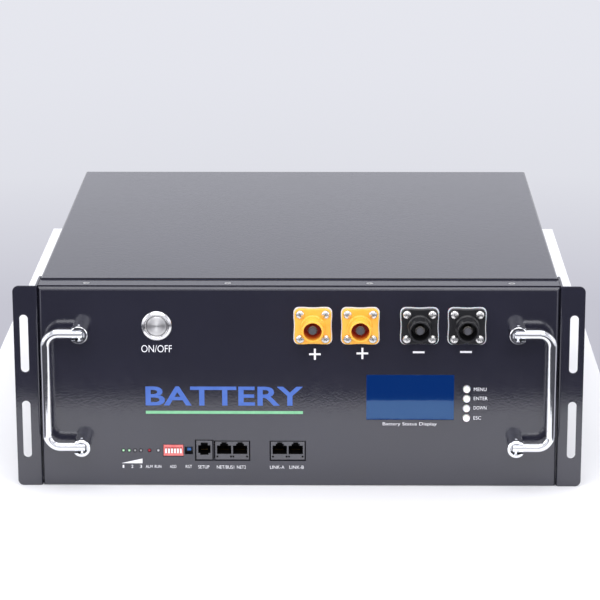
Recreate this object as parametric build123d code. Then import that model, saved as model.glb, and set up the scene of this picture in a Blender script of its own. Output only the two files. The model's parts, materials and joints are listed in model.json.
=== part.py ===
from build123d import *
import math
import os

# Rack battery module. +X right, +Y towards the rear, +Z up, millimetres.
# The origin is the centre of the underside, and the front face looks along -Y.

# Case
case_width = 440.4
case_depth = 440.0
case_height = 177.8
front = -case_depth / 2
rear = case_depth / 2

# Sheet metal
panel_sheet = 1.5
case_sheet = 1.2
ear_sheet = 2.0
panel_return = 4.5
frame_face = front + 6.0
seam_y = front + 25.0
frame_flange = 12.0
bend_radius = 2.5
panel_width = case_width - 1.6
panel_height = 175.9
panel_back = front + panel_sheet
frame_height = case_height - case_sheet
tray_width = case_width - 2 * case_sheet
tray_top = frame_height - 0.2
cover_skirt = 15.0
tray_lip = 10.0
seam_gap = 0.3

# Rack ears
rack_width = 482.6
ear_inner = case_width / 2 + 0.1
ear_height = 177.3
ear_side_depth = 37.0
ear_corner = 5.0
ear_rear_corner = 4.0
rack_middle = 88.5
slot_column = 465.1
slot_width = 7.2
slot_length = 51.0
slot_spacing = 76.2

# Screws
m4 = 2.0
m5 = 2.5
panel_screw_x = [-180.0, -60.0, 60.0, 180.0]
panel_screw_y = front + 13.0
side_screw_y = [-150.0, 35.0, 200.0]
ear_screw_y = front + 17.0
ear_screw_z = [25.0, rack_middle, 152.0]

# Folding handles
handle_x = 184.4
handle_z = 89.7
handle_spacing = 100.0
handle_reach = 28.8
bow_radius = 4.0
bow_bend = 11.0
bow_tail = 3.2
post_radius = 7.5
post_height = 19.5
post_bore = 5.25
post_bore_depth = 10.6
post_slot = 4.4
pivot_height = 14.0
pivot_pin = 1.25
pivot_hole = 1.3

# Power switch
switch_x = -120.0
switch_z = 142.9
switch_cap_radius = 8.4
switch_bore = 8.45
switch_cap_depth = 7.0

# Power connectors
connector_z = 143.2
connector_x = {
    "positive_connector_1": 12.0,
    "positive_connector_2": 52.0,
    "negative_connector_1": 102.0,
    "negative_connector_2": 142.0,
}
flange_size = 31.0
flange_corner = 4.5
flange_waist = 0.4
gasket_size = 32.6
gasket = 0.8
flange_front = front - 4.0
barrel_length = 16.0
barrel_radius = 9.2
barrel_bore = 7.7
contact_radius = 3.9
contact_root = 3.4
tip_radius = 3.3
stud_radius = 3.0
connector_screw = 10.7

# Display
display_x = 94.7
display_z = 79.7
window_width = 74.5
window_height = 40.2
board_sheet = 1.6
display_board_y = front + 11.0
key_x = 142.6
key_pitch = 8.57
key_top_z = 87.5
key_radius = 2.95
key_hole = 3.35
key_proud = 3.8

# Indicators, address switch and reset switch
indicator_z = 31.7
charge_light_x = [-150.3, -145.3, -140.3, -135.3]
alarm_light_x = -128.0
run_light_x = -120.4
light_radius = 1.5
address_x = -107.5
address_pitch = 2.54
address_ways = 6
reset_x = -94.2

# Data sockets: centre, width and height of each jack's face
jack_base = 23.2
jack_depth = 20.0
jack_front = front + 0.3
service_jack_x = -81.0
service_jack_width = 14.3
service_jack_height = 17.4
twin_jack_x = {"network_jack": -57.2, "link_jack": -9.6}
twin_jack_width = 29.4
twin_jack_height = 16.6
twin_pitch = 13.7
socket_depth = 14.0
socket_floor = 28.5
socket_play = 0.8

# Circuit board behind the sockets
comms_board_top = jack_base - 0.1

# Cells: two rows of eight, in series
cells_per_row = 8
cell_width = 160.0
cell_thickness = 50.0
cell_height = 118.5
cell_gap = 0.6
cell_pitch = cell_thickness + cell_gap
cell_base = 3.2
row_y = [-32.0, 130.0]
terminal_offset = 52.0
terminal_radius = 8.0
terminal_height = 3.0
bar_thickness = 2.0
bar_width = 20.0
cell_top = cell_base + cell_height
bar_base = cell_top + terminal_height
bar_top = bar_base + bar_thickness

# Battery management board
bms_x = (-150.0, 50.0)
bms_z = (12.0, 112.0)
bms_y = -126.6

# Cables
cable_radius = 4.5
positive_deck = 150.0
negative_deck = 165.0
board_stud_x = (-130.0, 30.0)
board_stud_y = bms_y + board_sheet + 4.0
output_bar_y = (front + 24.0, front + 27.0)


def block(x, y, z):
    """Box between two values on each axis."""
    middle = Pos((x[0] + x[1]) / 2, (y[0] + y[1]) / 2, (z[0] + z[1]) / 2)
    return middle * Box(x[1] - x[0], y[1] - y[0], z[1] - z[0])


def slab(x, z, width, height, y):
    """Box centred on x and z that spans two depths."""
    return block((x - width / 2, x + width / 2), y, (z - height / 2, z + height / 2))


def rod(radius, x, z, y):
    """Cylinder along Y between two depths."""
    return Pos(x, (y[0] + y[1]) / 2, z) * Rot(90, 0, 0) * Cylinder(radius, y[1] - y[0])


def pillar(radius, x, y, z):
    """Cylinder along Z between two heights."""
    return Pos(x, y, (z[0] + z[1]) / 2) * Cylinder(radius, z[1] - z[0])


def peg(radius, x, y, z):
    """Cylinder along X between two sides."""
    return Pos((x[0] + x[1]) / 2, y, z) * Rot(0, 90, 0) * Cylinder(radius, abs(x[1] - x[0]))


def front_edges(shape):
    """Edges of the face that is furthest to the front."""
    return shape.faces().sort_by(Axis.Y)[0].edges()


def along(shape, axis):
    return shape.edges().filter_by(axis)


def prism(sketch, y_front, length, x=0.0, z=0.0):
    """Sketch drawn as seen from the front, made solid from y_front towards the rear."""
    plane = Plane(origin=(x, y_front, z), x_dir=(1, 0, 0), z_dir=(0, -1, 0))
    return extrude(plane * sketch, amount=-length)


def hexagon(flats, x, z, y):
    """Hexagonal bar along Y, measured across its flats."""
    return prism(RegularPolygon(flats / 2, 6, major_radius=False), y[0], y[1] - y[0], x, z)


def cross_cut(x, y, z, size, depth):
    """Cross recess in the front of a screw head."""
    width = size * 0.28
    bars = slab(x, z, size, width, (y, y + depth)) + slab(x, z, width, size, (y, y + depth))
    return bars


def pan_screw(x, z, seat, radius, shank, length):
    """Pan head screw with a cross recess, driven from the front along +Y."""
    head_height = radius * 0.72
    head = rod(radius, x, z, (seat - head_height, seat))
    head = fillet(front_edges(head), head_height * 0.62)
    head -= cross_cut(x, seat - head_height, z, radius * 1.15, head_height * 0.55)
    return head + rod(shank, x, z, (seat, seat + length))


def side_screw(side, y, z, seat, radius, shank, length):
    """Pan head screw driven from one side towards the middle of the case."""
    screw = pan_screw(0, 0, 0, radius, shank, length)
    return Pos(side * seat, y, z) * Rot(0, 0, side * 90) * screw


# Sheet metal ---------------------------------------------------------------

def panel_openings():
    """Every hole through the face of the front panel."""
    through = (front - 1, panel_back + 1)
    holes = [rod(11.05, switch_x, switch_z, through)]
    for x in connector_x.values():
        holes.append(rod(barrel_radius + 0.8, x, connector_z, through))
        for dx in (-connector_screw, connector_screw):
            for dz in (-connector_screw, connector_screw):
                holes.append(rod(m4, x + dx, connector_z + dz, through))
    for side in (-1, 1):
        for z in handle_levels():
            holes.append(rod(m5, side * handle_x, z, through))
    holes.append(slab(display_x, display_z, window_width, window_height, through))
    for z in key_levels():
        holes.append(rod(key_hole, key_x, z, through))
    for x in charge_light_x + [alarm_light_x, run_light_x]:
        holes.append(rod(light_radius + 0.2, x, indicator_z, through))
    holes.append(slab(address_x, indicator_z, 17.8, 10.8, through))
    holes.append(slab(reset_x, indicator_z, 7.0, 6.8, through))
    jacks = [(service_jack_x, service_jack_width, service_jack_height)]
    jacks += [(x, twin_jack_width, twin_jack_height) for x in twin_jack_x.values()]
    for x, width, height in jacks:
        middle = jack_base + height / 2
        holes.append(slab(x, middle, width + 2 * socket_play, height + 2 * socket_play, through))
    return holes


def handle_levels():
    return (handle_z - handle_spacing / 2, handle_z + handle_spacing / 2)


def key_levels():
    return [key_top_z - index * key_pitch for index in range(4)]


def front_panel():
    """Flat sheet with a short lip folded back all round."""
    half = panel_width / 2
    outer = block((-half, half), (front, front + panel_return), (0, panel_height))
    outer = fillet(front_edges(outer), bend_radius)
    inner = block(
        (-half + panel_sheet, half - panel_sheet),
        (panel_back, front + panel_return + 1),
        (panel_sheet, panel_height - panel_sheet),
    )
    inner = fillet(front_edges(inner), bend_radius - panel_sheet)
    panel = outer - inner
    for hole in panel_openings():
        panel -= hole
    return panel


def front_frame():
    """Folded ring behind the panel's lip, which the ears and the top screws fasten to."""
    half = case_width / 2
    ring = block((-half, half), (frame_face, seam_y), (0, frame_height))
    hollow = block(
        (-half + panel_sheet, half - panel_sheet),
        (frame_face + panel_sheet, seam_y + 1),
        (panel_sheet, frame_height - panel_sheet),
    )
    window = block(
        (-half + frame_flange, half - frame_flange),
        (frame_face - 1, seam_y),
        (frame_flange, frame_height - frame_flange),
    )
    ring -= hollow + window
    for x in panel_screw_x:
        ring -= countersunk(x, panel_screw_y, frame_height)
    for side in (-1, 1):
        for z in ear_screw_z:
            ring -= peg(m5, (side * (half - 3), side * (half + 3)), ear_screw_y, z)
    return ring


def countersunk(x, y, top):
    """Countersunk head and shank, looking down."""
    head = Pos(x, y, top - 1.15) * Cone(m4, 2 * m4, 2.3)
    return head + pillar(m4, x, y, (top - 12, top - 2.0))


def panel_screws():
    screws = []
    for x in panel_screw_x:
        recess = Pos(x, panel_screw_y, frame_height) * cross_recess(2.1, 1.3)
        screws.append(countersunk(x, panel_screw_y, frame_height) - recess)
    return screws


def cross_recess(arm, depth):
    """Cross recess cut down from the origin."""
    bar = block((-arm, arm), (-arm / 4, arm / 4), (-depth, 0))
    return bar + Rot(0, 0, 90) * bar


def chassis_tray():
    half = tray_width / 2
    back = rear - case_sheet
    seam = seam_y + 0.2
    top = tray_top
    nose = frame_face + panel_sheet + 0.3
    nose_half = case_width / 2 - panel_sheet - 0.3
    shelf = frame_height - panel_sheet - 0.2
    outer = block((-half, half), (seam, back), (0, top))
    outer = fillet(outer.faces().sort_by(Axis.Z)[0].edges().filter_by(Axis.Y), 1.8)
    inside_x = (-half + case_sheet, half - case_sheet)
    inner = block(inside_x, (seam - 1, back - case_sheet), (case_sheet, top + 1))
    tray = outer - inner
    lip_low = panel_sheet + 0.2
    tray += block((-half, half), (seam, seam + case_sheet), (0, lip_low + case_sheet))
    tray += block(inside_x, (nose, seam + case_sheet), (lip_low, lip_low + case_sheet))
    for side in (-1, 1):
        wall_x = sorted((side * (nose_half - case_sheet), side * nose_half))
        tray += block(wall_x, (nose, seam + case_sheet), (lip_low, shelf))
        lip_x = sorted((side * (half - tray_lip), side * half))
        tray += block(lip_x, (seam, back), (top - case_sheet, top))
    tray += block(inside_x, (nose, seam + case_sheet), (shelf - case_sheet, shelf))
    tray += block(inside_x, (nose, nose + case_sheet), (shelf - 8, shelf))
    for x in panel_screw_x:
        tray -= countersunk(x, panel_screw_y, frame_height)
    for side in (-1, 1):
        for z in ear_screw_z:
            tray -= peg(m5, (side * (half - 3), side * (half + 3)), ear_screw_y, z)
        for y in side_screw_y:
            tray -= cover_screw(side, y)
    return tray


def side_screw_level():
    return case_height - cover_skirt / 2


def cover_screw(side, y):
    """Countersunk screw that holds the cover's skirt, its head flush with the skirt."""
    screw = Pos(0, 0, -1.15) * Cone(m4, 2 * m4, 2.3) + pillar(m4, 0, 0, (-9.0, -2.0))
    return Pos(side * case_width / 2, y, side_screw_level()) * Rot(0, side * 90, 0) * screw


def top_cover():
    half = case_width / 2
    outer = block(
        (-half, half), (seam_y + seam_gap, rear), (case_height - cover_skirt, case_height)
    )
    long_edges = outer.faces().sort_by(Axis.Z)[-1].edges()
    back_edge = long_edges.sort_by(Axis.Y)[-1]
    outer = fillet(long_edges.filter_by(Axis.Y) + [back_edge], 1.8)
    inner = block(
        (-half + case_sheet, half - case_sheet),
        (front, rear - case_sheet),
        (0, case_height - case_sheet),
    )
    cover = outer - inner
    for side in (-1, 1):
        for y in side_screw_y:
            cover -= cover_screw(side, y)
    return cover


def rack_ear(side):
    """Angle bracket: a flange against the case's side and a slotted flange across the front."""
    outer = rack_width / 2
    angle = block((ear_inner, outer), (front, front + ear_side_depth), (0, ear_height))
    angle = fillet(along(angle, Axis.Z).sort_by(Axis.X)[:2].sort_by(Axis.Y)[0], bend_radius)
    angle -= block(
        (ear_inner + ear_sheet, outer + 1),
        (front + ear_sheet, front + ear_side_depth + 1),
        (-1, ear_height + 1),
    )
    tips = along(angle, Axis.Y).sort_by(Axis.X)[-2:]
    angle = fillet(tips, ear_corner)
    heels = along(angle, Axis.X).group_by(Axis.Y)[-1]
    angle = fillet(heels, ear_rear_corner)
    for z in slot_levels():
        slot = SlotOverall(slot_length, slot_width, rotation=90)
        angle -= prism(slot, front - 1, ear_sheet + 2, slot_column / 2, z)
    for z in ear_screw_z:
        angle -= peg(m5, (ear_inner - 1, ear_inner + 5), ear_screw_y, z)
    return angle if side > 0 else mirror(angle, Plane.YZ)


def slot_levels():
    return (rack_middle - slot_spacing / 2, rack_middle + slot_spacing / 2)


def side_screws():
    screws = []
    for side in (-1, 1):
        for y in side_screw_y:
            recess = Rot(0, side * 90, 0) * cross_recess(2.1, 1.3)
            seat = Pos(side * case_width / 2, y, side_screw_level())
            screws.append(cover_screw(side, y) - seat * recess)
        for z in ear_screw_z:
            screws.append(side_screw(side, ear_screw_y, z, ear_inner + ear_sheet, 4.5, m5, 10))
    return screws


# Handles -------------------------------------------------------------------

def handle_bow(side):
    """Round bar bent into a bow, with a cross hole through each end for the pivot pin."""
    pivot_y = front - pivot_height
    low, high = handle_levels()
    inner = side * (handle_x - bow_tail)
    outer = side * (handle_x + handle_reach)
    path = FilletPolyline(
        (inner, pivot_y, low),
        (outer, pivot_y, low),
        (outer, pivot_y, high),
        (inner, pivot_y, high),
        radius=bow_bend,
    )
    section = Plane(origin=(inner, pivot_y, low), z_dir=(side, 0, 0)) * Circle(bow_radius)
    bow = sweep(section, path=path)
    ends = bow.faces().filter_by(Axis.X).edges()
    bow = chamfer(ends, 1.0)
    for z in (low, high):
        bow -= pillar(pivot_hole, side * handle_x, pivot_y, (z - 6, z + 6))
    return bow


def handle_posts():
    """Posts with an open front socket, slotted towards the outside so the bow can fold flat."""
    top = front - post_height
    posts = []
    for side in (-1, 1):
        for z in handle_levels():
            x = side * handle_x
            post = rod(post_radius, x, z, (top, front))
            post = chamfer(front_edges(post), 0.5)
            post -= rod(post_bore, x, z, (top - 1, top + post_bore_depth))
            slot_x = sorted((x, x + side * 2 * post_radius))
            slot_y = (top - 1, front - pivot_height + bow_radius + 0.6)
            post -= block(slot_x, slot_y, (z - post_slot, z + post_slot))
            post -= pillar(pivot_pin, x, front - pivot_height, (z - 9, z + 9))
            post -= rod(m5, x, z, (front - 7.4, front + 1))
            posts.append(post)
    return posts


def handle_pivot_pins():
    pins = []
    for side in (-1, 1):
        for z in handle_levels():
            pins.append(pillar(pivot_pin, side * handle_x, front - pivot_height, (z - 7.2, z + 7.2)))
    return pins


def handle_screws():
    """Screws from behind the panel into the posts."""
    screws = []
    for side in (-1, 1):
        for z in handle_levels():
            x = side * handle_x
            screw = rod(m5, x, z, (front - 7.0, panel_back))
            screw += hexagon(8.0, x, z, (panel_back, panel_back + 3.5))
            screws.append(screw)
    return screws


# Power switch --------------------------------------------------------------

switch_face = front - 2.6


def switch_housing():
    housing = rod(12.8, switch_x, switch_z, (switch_face, front - 0.5))
    housing = chamfer(front_edges(housing), 0.6)
    housing += rod(11.0, switch_x, switch_z, (front - 0.5, front + 20))
    housing += rod(9.0, switch_x, switch_z, (front + 20, front + 36))
    housing -= rod(10.0, switch_x, switch_z, (switch_face - 1, switch_face + 0.7))
    housing -= rod(switch_bore, switch_x, switch_z, (switch_face - 1, switch_face + 12))
    for index in range(5):
        dx = (index - 2) * 3.2
        housing += slab(switch_x + dx, switch_z, 0.8, 2.8, (front + 36, front + 44))
    return housing


def switch_cap():
    cap = rod(switch_cap_radius, switch_x, switch_z, (switch_face, switch_face + switch_cap_depth))
    return fillet(front_edges(cap), 0.7)


def switch_nut():
    nut = hexagon(27.0, switch_x, switch_z, (panel_back, panel_back + 3.5))
    return nut - rod(11.0, switch_x, switch_z, (panel_back - 1, panel_back + 5))


# Power connectors ----------------------------------------------------------

def flange_outline(size, waist):
    """Rounded square whose sides draw in a little between the screws."""
    half = size / 2
    outline = fillet(Rectangle(size, size).vertices(), flange_corner)
    bite = half * 0.9
    radius = (bite * bite / 4 + waist * waist) / (2 * waist)
    for angle in range(0, 360, 90):
        outline -= Rot(0, 0, angle) * Pos(half - waist + radius, 0) * Circle(radius)
    return outline


def connector_corners(x):
    corners = []
    for dx in (-connector_screw, connector_screw):
        for dz in (-connector_screw, connector_screw):
            corners.append((x + dx, connector_z + dz))
    return corners


def connector_housing(x):
    z = connector_z
    mouth = flange_front - barrel_length
    flange_depth = front - gasket - flange_front
    body = prism(flange_outline(flange_size, flange_waist), flange_front, flange_depth, x, z)
    body = chamfer(front_edges(body), 0.5)
    foot = rod(barrel_radius + 1.2, x, z, (flange_front - 2.0, flange_front))
    body += chamfer(front_edges(foot), 1.0)
    barrel = rod(barrel_radius, x, z, (mouth, flange_front))
    body += chamfer(front_edges(barrel), 0.5)
    body += rod(barrel_radius + 0.6, x, z, (front - gasket, front + 13))
    body -= rod(barrel_bore, x, z, (mouth - 1, front - 1))
    body -= rod(contact_root, x, z, (front - 2, front + 14))
    for angle in (-35, 35):
        rib = slab(0, barrel_bore - 0.3, 1.2, 1.4, (mouth + 3, front - 0.9))
        body += Pos(x, 0, z) * Rot(0, angle, 0) * rib
    for screw_x, screw_z in connector_corners(x):
        body -= rod(m4, screw_x, screw_z, (flange_front - 1, front))
    return body


def power_contacts():
    contacts = []
    for x in connector_x.values():
        contact = rod(contact_radius, x, connector_z, (front - 15.5, front - 1))
        contact += rod(contact_root, x, connector_z, (front - 1, front + 13))
        contact += rod(stud_radius, x, connector_z, (front + 13, front + 32))
        contacts.append(contact)
    return contacts


def contact_tips():
    """Insulating caps that keep fingers off the live pins."""
    tips = []
    for x in connector_x.values():
        tip = rod(tip_radius, x, connector_z, (front - 18.0, front - 15.5))
        tips.append(chamfer(front_edges(tip), 0.6))
    return tips


def connector_screws():
    screws = []
    for x in connector_x.values():
        for screw_x, screw_z in connector_corners(x):
            screws.append(pan_screw(screw_x, screw_z, flange_front, 3.6, m4, 13))
    return screws


def panel_seals():
    """Rubber gaskets under the switch and the four connectors."""
    ring = rod(12.4, switch_x, switch_z, (front - 0.5, front))
    seals = [ring - rod(11.0, switch_x, switch_z, (front - 1, front + 1))]
    for x in connector_x.values():
        outline = flange_outline(gasket_size, flange_waist)
        seal = prism(outline, front - gasket, gasket, x, connector_z)
        seal -= rod(barrel_radius + 0.6, x, connector_z, (front - 2, front + 1))
        for screw_x, screw_z in connector_corners(x):
            seal -= rod(m4, screw_x, screw_z, (front - 2, front + 1))
        seals.append(seal)
    return seals


# Display -------------------------------------------------------------------

def display_lens():
    """Clear window with a step that holds it behind the panel."""
    lens = slab(display_x, display_z, window_width - 0.3, window_height - 0.3, (front + 0.3, panel_back))
    return lens + slab(display_x, display_z, 80, 46, (panel_back, panel_back + 1.0))


def lcd_module():
    back = display_board_y - 0.2
    module = slab(display_x, display_z, 84, 50, (panel_back + 1.1, back))
    return chamfer(front_edges(module), 0.8)


def display_board():
    board = slab(101.0, 79.5, 102, 68, (display_board_y, display_board_y + board_sheet))
    for x, z in display_corners():
        board -= rod(1.5, x, z, (display_board_y - 1, display_board_y + 3))
    chip = slab(80, 80, 12, 12, (display_board_y + board_sheet, display_board_y + 3.2))
    socket = slab(110, 62, 20, 6, (display_board_y + board_sheet, display_board_y + 8))
    return board + chip + socket


def display_corners():
    return [(x, z) for x in (54.0, 148.0) for z in (49.0, 110.0)]


def key_switches():
    switches = []
    for z in key_levels():
        body = slab(key_x, z, 6, 6, (display_board_y - 3.0, display_board_y))
        switches.append(body + rod(1.75, key_x, z, (display_board_y - 3.4, display_board_y - 3.0)))
    return switches


def key_cap(z):
    """Round key with a hidden flange that keeps it behind the panel."""
    cap = rod(key_radius, key_x, z, (front - key_proud, panel_back + 0.4))
    cap = fillet(front_edges(cap), 1.2)
    cap += rod(4.0, key_x, z, (panel_back + 0.4, panel_back + 1.4))
    return cap + rod(1.75, key_x, z, (panel_back + 1.4, display_board_y - 4.6))


# Signals and sockets --------------------------------------------------------

def comms_board():
    half_z = (comms_board_top - board_sheet, comms_board_top)
    board = block((-156, 18), (panel_back + 0.6, front + 70), half_z)
    for x, y in comms_corners():
        board -= pillar(1.5, x, y, (half_z[0] - 1, half_z[1] + 1))
    board += block((-60, -46), (front + 42, front + 56), (comms_board_top, comms_board_top + 1.6))
    board += block((-140, -110), (front + 58, front + 66), (comms_board_top, comms_board_top + 9))
    board += block((-90, -74), (front + 40, front + 48), (comms_board_top, comms_board_top + 3))
    return board


def comms_corners():
    return [(x, y) for x in (-151.0, 13.0) for y in (front + 14, front + 65)]


def board_fixings():
    """Standoffs and screws that hold the two small boards."""
    fixings = []
    for x, z in display_corners():
        standoff = rod(2.5, x, z, (panel_back, display_board_y))
        screw = rod(1.5, x, z, (display_board_y, display_board_y + board_sheet))
        head = rod(2.6, x, z, (display_board_y + board_sheet, display_board_y + 3.6))
        fixings.append(standoff + screw + head)
    for x, y in comms_corners():
        lower = panel_sheet + 0.2 + case_sheet if y < seam_y else case_sheet
        board_bottom = comms_board_top - board_sheet
        standoff = pillar(3.0, x, y, (lower, board_bottom))
        screw = pillar(1.5, x, y, (board_bottom, comms_board_top))
        head = pillar(2.6, x, y, (comms_board_top, comms_board_top + 2.0))
        fixings.append(standoff + screw + head)
    return fixings


def socket_cut(x, steps):
    """Stepped opening of one socket, built from (width, low, high) steps."""
    depth = (jack_front - 1, jack_front + socket_depth)
    cut = None
    for width, low, high in steps:
        piece = block((x - width / 2, x + width / 2), depth, (low, high))
        cut = piece if cut is None else cut + piece
    return cut


twin_steps = [
    (12.2, socket_floor, socket_floor + 7.6),
    (6.8, socket_floor + 7.6, socket_floor + 9.2),
    (4.4, socket_floor + 9.2, socket_floor + 10.6),
]
service_steps = [
    (7.0, socket_floor - 0.8, socket_floor + 0.8),
    (10.5, socket_floor + 0.8, socket_floor + 7.8),
    (6.0, socket_floor + 7.8, socket_floor + 10.2),
]


def twin_jack(x):
    half = twin_jack_width / 2
    top = jack_base + twin_jack_height
    jack = block((x - half, x + half), (jack_front, jack_front + jack_depth), (jack_base, top))
    jack = chamfer(front_edges(jack), 0.4)
    for side in (-1, 1):
        middle = x + side * twin_pitch / 2
        jack -= socket_cut(middle, twin_steps)
        for light in (-5.8, 5.8):
            pocket = slab(middle + light, jack_base + 3.0, 1.5, 1.5, (jack_front - 1, jack_front + 2.5))
            jack -= pocket
    return jack


def service_jack():
    x = service_jack_x
    half = service_jack_width / 2
    top = jack_base + service_jack_height
    jack = block((x - half, x + half), (jack_front, jack_front + jack_depth), (jack_base, top))
    jack = chamfer(front_edges(jack), 0.4)
    return jack - socket_cut(x, service_steps)


def spring_contact(x):
    """Bent wire that rises from a socket's floor towards its rear wall."""
    back = jack_front + socket_depth
    wire = Plane.YZ.offset(x - 0.2) * Polygon(
        (back - 5.0, socket_floor + 0.8),
        (back - 5.0, socket_floor + 1.2),
        (back, socket_floor + 2.9),
        (back, socket_floor + 2.5),
        align=None,
    )
    return extrude(wire, amount=0.4)


def jack_contacts():
    contacts = []
    for x in twin_jack_x.values():
        for side in (-1, 1):
            middle = x + side * twin_pitch / 2
            for index in range(8):
                contacts.append(spring_contact(middle + (index - 3.5) * 1.02))
    for index in range(6):
        contacts.append(spring_contact(service_jack_x + (index - 2.5) * 1.02))
    return contacts


def address_levels():
    """Columns of the address switch, left to right."""
    middle = (address_ways - 1) / 2
    return [address_x + (index - middle) * address_pitch for index in range(address_ways)]


address_face = front + 0.5
slider_height = 4.0
slider_width = 1.5
slider_travel = 1.2
slider_play = 0.3


def address_switch():
    body = slab(address_x, indicator_z, 17.0, 9.9, (address_face, front + 9))
    foot_x = (address_x - 8.5, address_x + 8.5)
    body += block(foot_x, (front + 5, front + 9), (comms_board_top, indicator_z))
    slot_height = slider_height + slider_travel + 2 * slider_play
    for x in address_levels():
        body -= slab(x, indicator_z, 2.0, slot_height, (address_face - 1, address_face + 1.7))
    return body


def address_slider(x):
    low = indicator_z - (slider_height + slider_travel) / 2
    half = slider_width / 2
    return block((x - half, x + half), (address_face - 0.4, address_face + 1.4), (low, low + slider_height))


reset_face = front + 5.0
reset_travel = 0.5


def reset_switch():
    body = slab(reset_x, indicator_z, 6.4, 6.2, (reset_face, reset_face + 6))
    foot_x = (reset_x - 3.2, reset_x + 3.2)
    body += block(foot_x, (reset_face, reset_face + 6), (comms_board_top, indicator_z))
    pocket = (reset_face - 1, reset_face + 2.0 + reset_travel + 0.3)
    return body - slab(reset_x, indicator_z, 4.0, 3.3, pocket)


def reset_button():
    button = slab(reset_x, indicator_z, 3.4, 2.7, (reset_face - 1.4, reset_face + 2.0))
    return fillet(front_edges(button), 0.3)


def light(x):
    """Round lamp on a foot that stands on the circuit board."""
    lens = rod(light_radius, x, indicator_z, (front - 0.4, front + 5))
    lens = fillet(front_edges(lens), 0.9)
    return lens + block((x - 1.6, x + 1.6), (front + 2.5, front + 5.5), (comms_board_top, indicator_z + 1.7))


# Cells and wiring -----------------------------------------------------------

def cell_columns():
    middle = (cells_per_row - 1) / 2
    return [(index - middle) * cell_pitch for index in range(cells_per_row)]


def cells():
    blocks = []
    for y in row_y:
        for x in cell_columns():
            place = Pos(x, y, cell_base + cell_height / 2)
            cell = place * Box(cell_thickness, cell_width, cell_height)
            blocks.append(fillet(along(cell, Axis.Z), 3.0))
    return blocks


def terminals():
    points = []
    for y in row_y:
        for x in cell_columns():
            points.append((x, y - terminal_offset))
            points.append((x, y + terminal_offset))
    return points


def cell_terminals():
    return [pillar(terminal_radius, x, y, (cell_top, bar_base)) for x, y in terminals()]


def bar_between(a, b):
    """Flat bar with rounded ends over two terminals."""
    dx = b[0] - a[0]
    dy = b[1] - a[1]
    length = math.hypot(dx, dy) + bar_width
    turn = math.degrees(math.atan2(dy, dx))
    place = Pos((a[0] + b[0]) / 2, (a[1] + b[1]) / 2, bar_base) * Rot(0, 0, turn)
    return place * extrude(SlotOverall(length, bar_width), amount=bar_thickness)


def busbars():
    """Series links, the bars behind the connectors and the management board's terminals."""
    columns = cell_columns()
    near = [row_y[0] - terminal_offset, row_y[1] + terminal_offset]
    far = [row_y[0] + terminal_offset, row_y[1] - terminal_offset]
    bars = []
    for row in range(2):
        for index in range(cells_per_row - 1):
            y = near[row] if index % 2 == 0 else far[row]
            bars.append(bar_between((columns[index], y), (columns[index + 1], y)))
    bars.append(bar_between((columns[-1], far[0]), (columns[-1], far[1])))
    places = list(connector_x.values())
    for first in (0, 2):
        left = places[first] - 9
        right = places[first + 1] + 9
        bar = block((left, right), output_bar_y, (connector_z - 8, connector_z + 8))
        for x in places[first:first + 2]:
            bar -= rod(stud_radius, x, connector_z, (output_bar_y[0] - 1, output_bar_y[1] + 1))
        bars.append(bar)
    stud_y = (bms_y + board_sheet, bms_y + board_sheet + 8)
    for x in board_stud_x:
        bars.append(block((x - 8, x + 8), stud_y, (96, bms_z[1])))
    return bars


def busbar_bolts():
    bolts = []
    first = cell_columns()[0]
    open_ends = ((first, row_y[0] + terminal_offset), (first, row_y[1] - terminal_offset))
    for x, y in terminals():
        if (x, y) in open_ends:
            continue
        head = extrude(RegularPolygon(5, 6, major_radius=False), amount=4)
        bolts.append(Pos(x, y, bar_top) * head)
    for x in connector_x.values():
        nut = hexagon(10.0, x, connector_z, (output_bar_y[1], output_bar_y[1] + 5))
        bolts.append(nut - rod(stud_radius, x, connector_z, (output_bar_y[1] - 1, output_bar_y[1] + 6)))
    return bolts


def cell_clamp():
    """End plates and straps that squeeze the two rows together."""
    half = (cells_per_row * cell_pitch - cell_gap) / 2 + 0.3
    low = row_y[0] - cell_width / 2 - 0.2
    high = row_y[1] + cell_width / 2 + 0.2
    pieces = []
    for side in (-1, 1):
        plate_x = sorted((side * half, side * (half + 5)))
        pieces.append(block(plate_x, (low, high), (cell_base, 113)))
    for z in (30, 90):
        for y in ((low - 0.8, low), (high, high + 0.8)):
            pieces.append(block((-half - 5, half + 5), y, (z - 8, z + 8)))
    return pieces


def base_pad():
    return block((-207, 207), (row_y[0] - 82, row_y[1] + 82), (case_sheet, cell_base))


def bms_board():
    board = block(bms_x, (bms_y, bms_y + board_sheet), bms_z)
    for index in range(12):
        x = bms_x[0] + 22 + index * 14
        board += slab(x, 36, 10, 15, (bms_y + board_sheet, bms_y + 6))
    for x in (-110, -90, 10, 30):
        board += rod(4, x, 90, (bms_y + board_sheet, bms_y + 9))
    return board


def bms_heatsink():
    """Finned plate with a foot on the tray's floor."""
    base_y = (bms_y - 4.4, bms_y - 0.4)
    sink = block(bms_x, base_y, (case_sheet, bms_z[1]))
    sink += block(bms_x, (bms_y - 20, bms_y - 0.4), (case_sheet, case_sheet + 3))
    for index in range(17):
        x = bms_x[0] + 4 + index * 12
        sink += block((x - 0.9, x + 0.9), (bms_y - 20, bms_y - 4.4), (case_sheet, bms_z[1]))
    return sink


def cable(points, bends):
    path = FilletPolyline(*points, radius=bends)
    start = Plane(origin=path @ 0, z_dir=path % 0)
    return sweep(start * Circle(cable_radius), path=path)


def lug(x, y):
    """Crimped eye that sits on an open terminal."""
    return pillar(7.5, x, y, (bar_base, bar_top + 3))



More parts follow.
